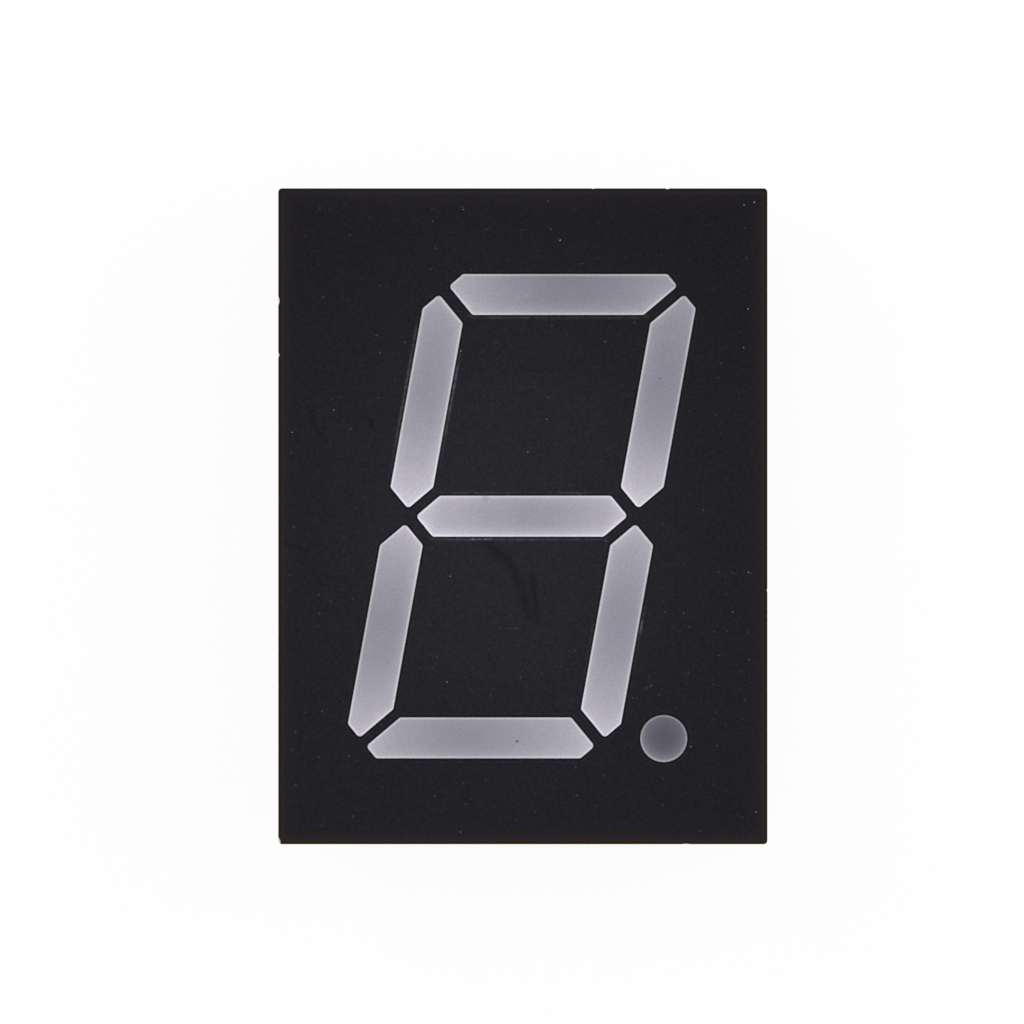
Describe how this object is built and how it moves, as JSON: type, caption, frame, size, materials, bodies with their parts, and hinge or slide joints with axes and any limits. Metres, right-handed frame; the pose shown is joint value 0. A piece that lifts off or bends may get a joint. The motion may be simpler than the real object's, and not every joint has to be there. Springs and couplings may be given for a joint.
{
  "type": "seven segment LED display",
  "caption": "Single-digit seven segment LED display with decimal point: black face, milky segments, white housing, and two rows of through-hole pins for a circuit board.",
  "frame": {"origin": "middle of the housing's rear rim, in the plane that seats on a circuit board", "axes": "+Z out of the black face, +Y to the top of the digit, +X to the right as the digit is read; the pins point to -Z"},
  "size_m": [0.0384, 0.0514, 0.015],
  "materials": {
    "white_moulding": "satin",
    "black_film": "matte",
    "diffuser_epoxy": "matte",
    "point_epoxy": "matte",
    "board_laminate": "satin",
    "led_die": "satin",
    "bond_wire": "polished",
    "tinned_pin": "satin",
    "solder": "satin",
    "potting_epoxy": "gloss"
  },
  "bodies": {
    "root": {"housing": "white_moulding", "face_film": "black_film", "segment_a": "diffuser_epoxy", "segment_b": "diffuser_epoxy", "segment_c": "diffuser_epoxy", "segment_d": "diffuser_epoxy", "segment_e": "diffuser_epoxy", "segment_f": "diffuser_epoxy", "segment_g": "diffuser_epoxy", "decimal_point": "point_epoxy", "circuit_board": "board_laminate", "die_a1": "led_die", "die_a2": "led_die", "die_b1": "led_die", "die_b2": "led_die", "die_c1": "led_die", "die_c2": "led_die", "die_d1": "led_die", "die_d2": "led_die", "die_e1": "led_die", "die_e2": "led_die", "die_f1": "led_die", "die_f2": "led_die", "die_g1": "led_die", "die_g2": "led_die", "bond_wire_a1": "bond_wire", "bond_wire_a2": "bond_wire", "bond_wire_b1": "bond_wire", "bond_wire_b2": "bond_wire", "bond_wire_c1": "bond_wire", "bond_wire_c2": "bond_wire", "bond_wire_d1": "bond_wire", "bond_wire_d2": "bond_wire", "bond_wire_e1": "bond_wire", "bond_wire_e2": "bond_wire", "bond_wire_f1": "bond_wire", "bond_wire_f2": "bond_wire", "bond_wire_g1": "bond_wire", "bond_wire_g2": "bond_wire", "die_point": "led_die", "bond_wire_point": "bond_wire", "pin_1": "tinned_pin", "pin_2": "tinned_pin", "pin_3": "tinned_pin", "pin_4": "tinned_pin", "pin_5": "tinned_pin", "pin_6": "tinned_pin", "pin_7": "tinned_pin", "pin_8": "tinned_pin", "pin_9": "tinned_pin", "pin_10": "tinned_pin", "solder_joints": "solder", "potting": "potting_epoxy"}
  },
  "joints": []
}
